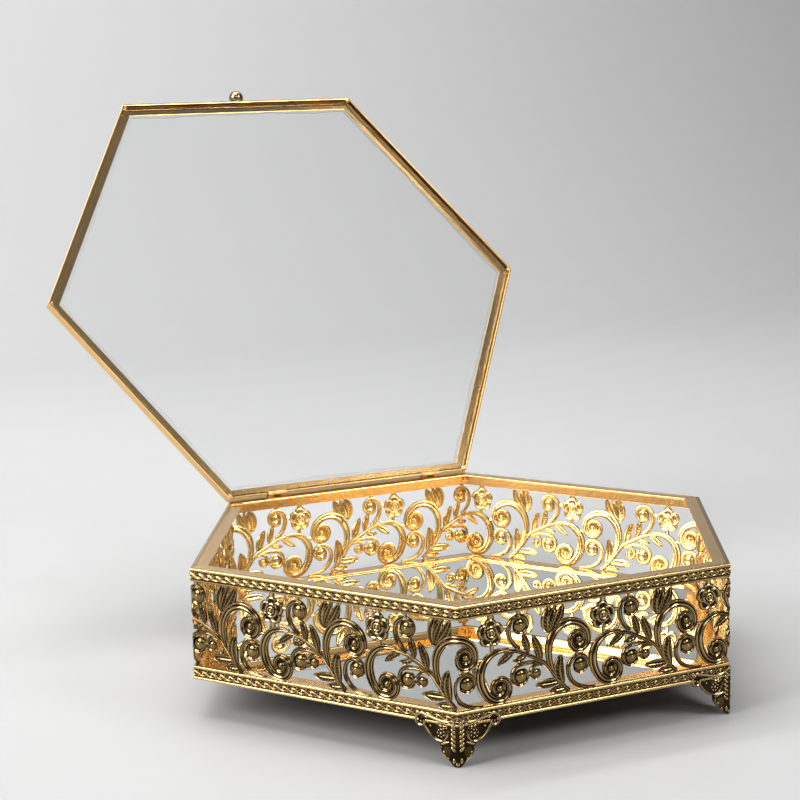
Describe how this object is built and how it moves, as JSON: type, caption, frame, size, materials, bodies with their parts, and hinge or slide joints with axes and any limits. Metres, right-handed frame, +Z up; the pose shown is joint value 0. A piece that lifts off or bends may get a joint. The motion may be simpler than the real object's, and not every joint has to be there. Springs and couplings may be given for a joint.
{
  "type": "glass storage box",
  "caption": "Hexagonal box on scrolled feet with pierced scrollwork walls, a mirror floor and a hinged glass lid standing open.",
  "frame": {"origin": "middle of the footprint of the whole box with its lid open, on the surface that the feet stand on", "axes": "+Z up; the front wall faces -Y and the hinges run along the back wall, so the open lid leans towards +Y; +X is to the right seen from the front"},
  "size_m": [0.252, 0.3474, 0.2492],
  "materials": {
    "stamped_brass": "polished gold-coloured plating, darker in the hollows",
    "bar_brass": "bright gold-coloured plating, faintly brushed",
    "cast_brass": "polished gold-coloured plating on a casting",
    "knob_brass": "polished gold-coloured plating",
    "hinge_brass": "rough gold-coloured plating",
    "pin_steel": "plated steel wire",
    "solder": "plated solder, smooth and rounded",
    "mirror": "silvered glass",
    "board": "brown hardboard",
    "glass": "clear",
    "adhesive": "clear silicone, a little cloudy"
  },
  "bodies": {
    "box": {"gallery_front": "stamped_brass", "gallery_front_right": "stamped_brass", "gallery_back_right": "stamped_brass", "gallery_back_left": "stamped_brass", "gallery_front_left": "stamped_brass", "gallery_back_right_of_seam": "stamped_brass", "gallery_back_left_of_seam": "stamped_brass", "rim_bar_front": "bar_brass", "rim_bar_front_right": "bar_brass", "rim_bar_back_right": "bar_brass", "rim_bar_back": "bar_brass", "rim_bar_back_left": "bar_brass", "rim_bar_front_left": "bar_brass", "rim_solder": "solder", "ledge_bar_front": "bar_brass", "ledge_bar_front_right": "bar_brass", "ledge_bar_back_right": "bar_brass", "ledge_bar_back": "bar_brass", "ledge_bar_back_left": "bar_brass", "ledge_bar_front_left": "bar_brass", "mirror_floor": "mirror", "backing_board": "board", "foot_front_left": "cast_brass", "foot_front_right": "cast_brass", "foot_back_right": "cast_brass", "foot_back_left": "cast_brass", "hinge_left_box_leaf": "hinge_brass", "hinge_left_pin": "pin_steel", "hinge_right_box_leaf": "hinge_brass", "hinge_right_pin": "pin_steel"},
    "lid": {"lid_bar_front": "bar_brass", "lid_bar_front_right": "bar_brass", "lid_bar_back_right": "bar_brass", "lid_bar_back": "bar_brass", "lid_bar_back_left": "bar_brass", "lid_bar_front_left": "bar_brass", "lid_solder": "solder", "lid_glass": "glass", "glass_adhesive": "adhesive", "knob_collar": "knob_brass", "lid_knob": "knob_brass", "hinge_left_lid_leaf": "hinge_brass", "hinge_right_lid_leaf": "hinge_brass"}
  },
  "joints": [
    {"name": "lid_hinge", "type": "hinge", "parent": "box", "child": "lid", "pos_m": [0, 0.04448, 0.06355], "axis": [1, 0, 0], "range_deg": [0, 124.3]}
  ]
}
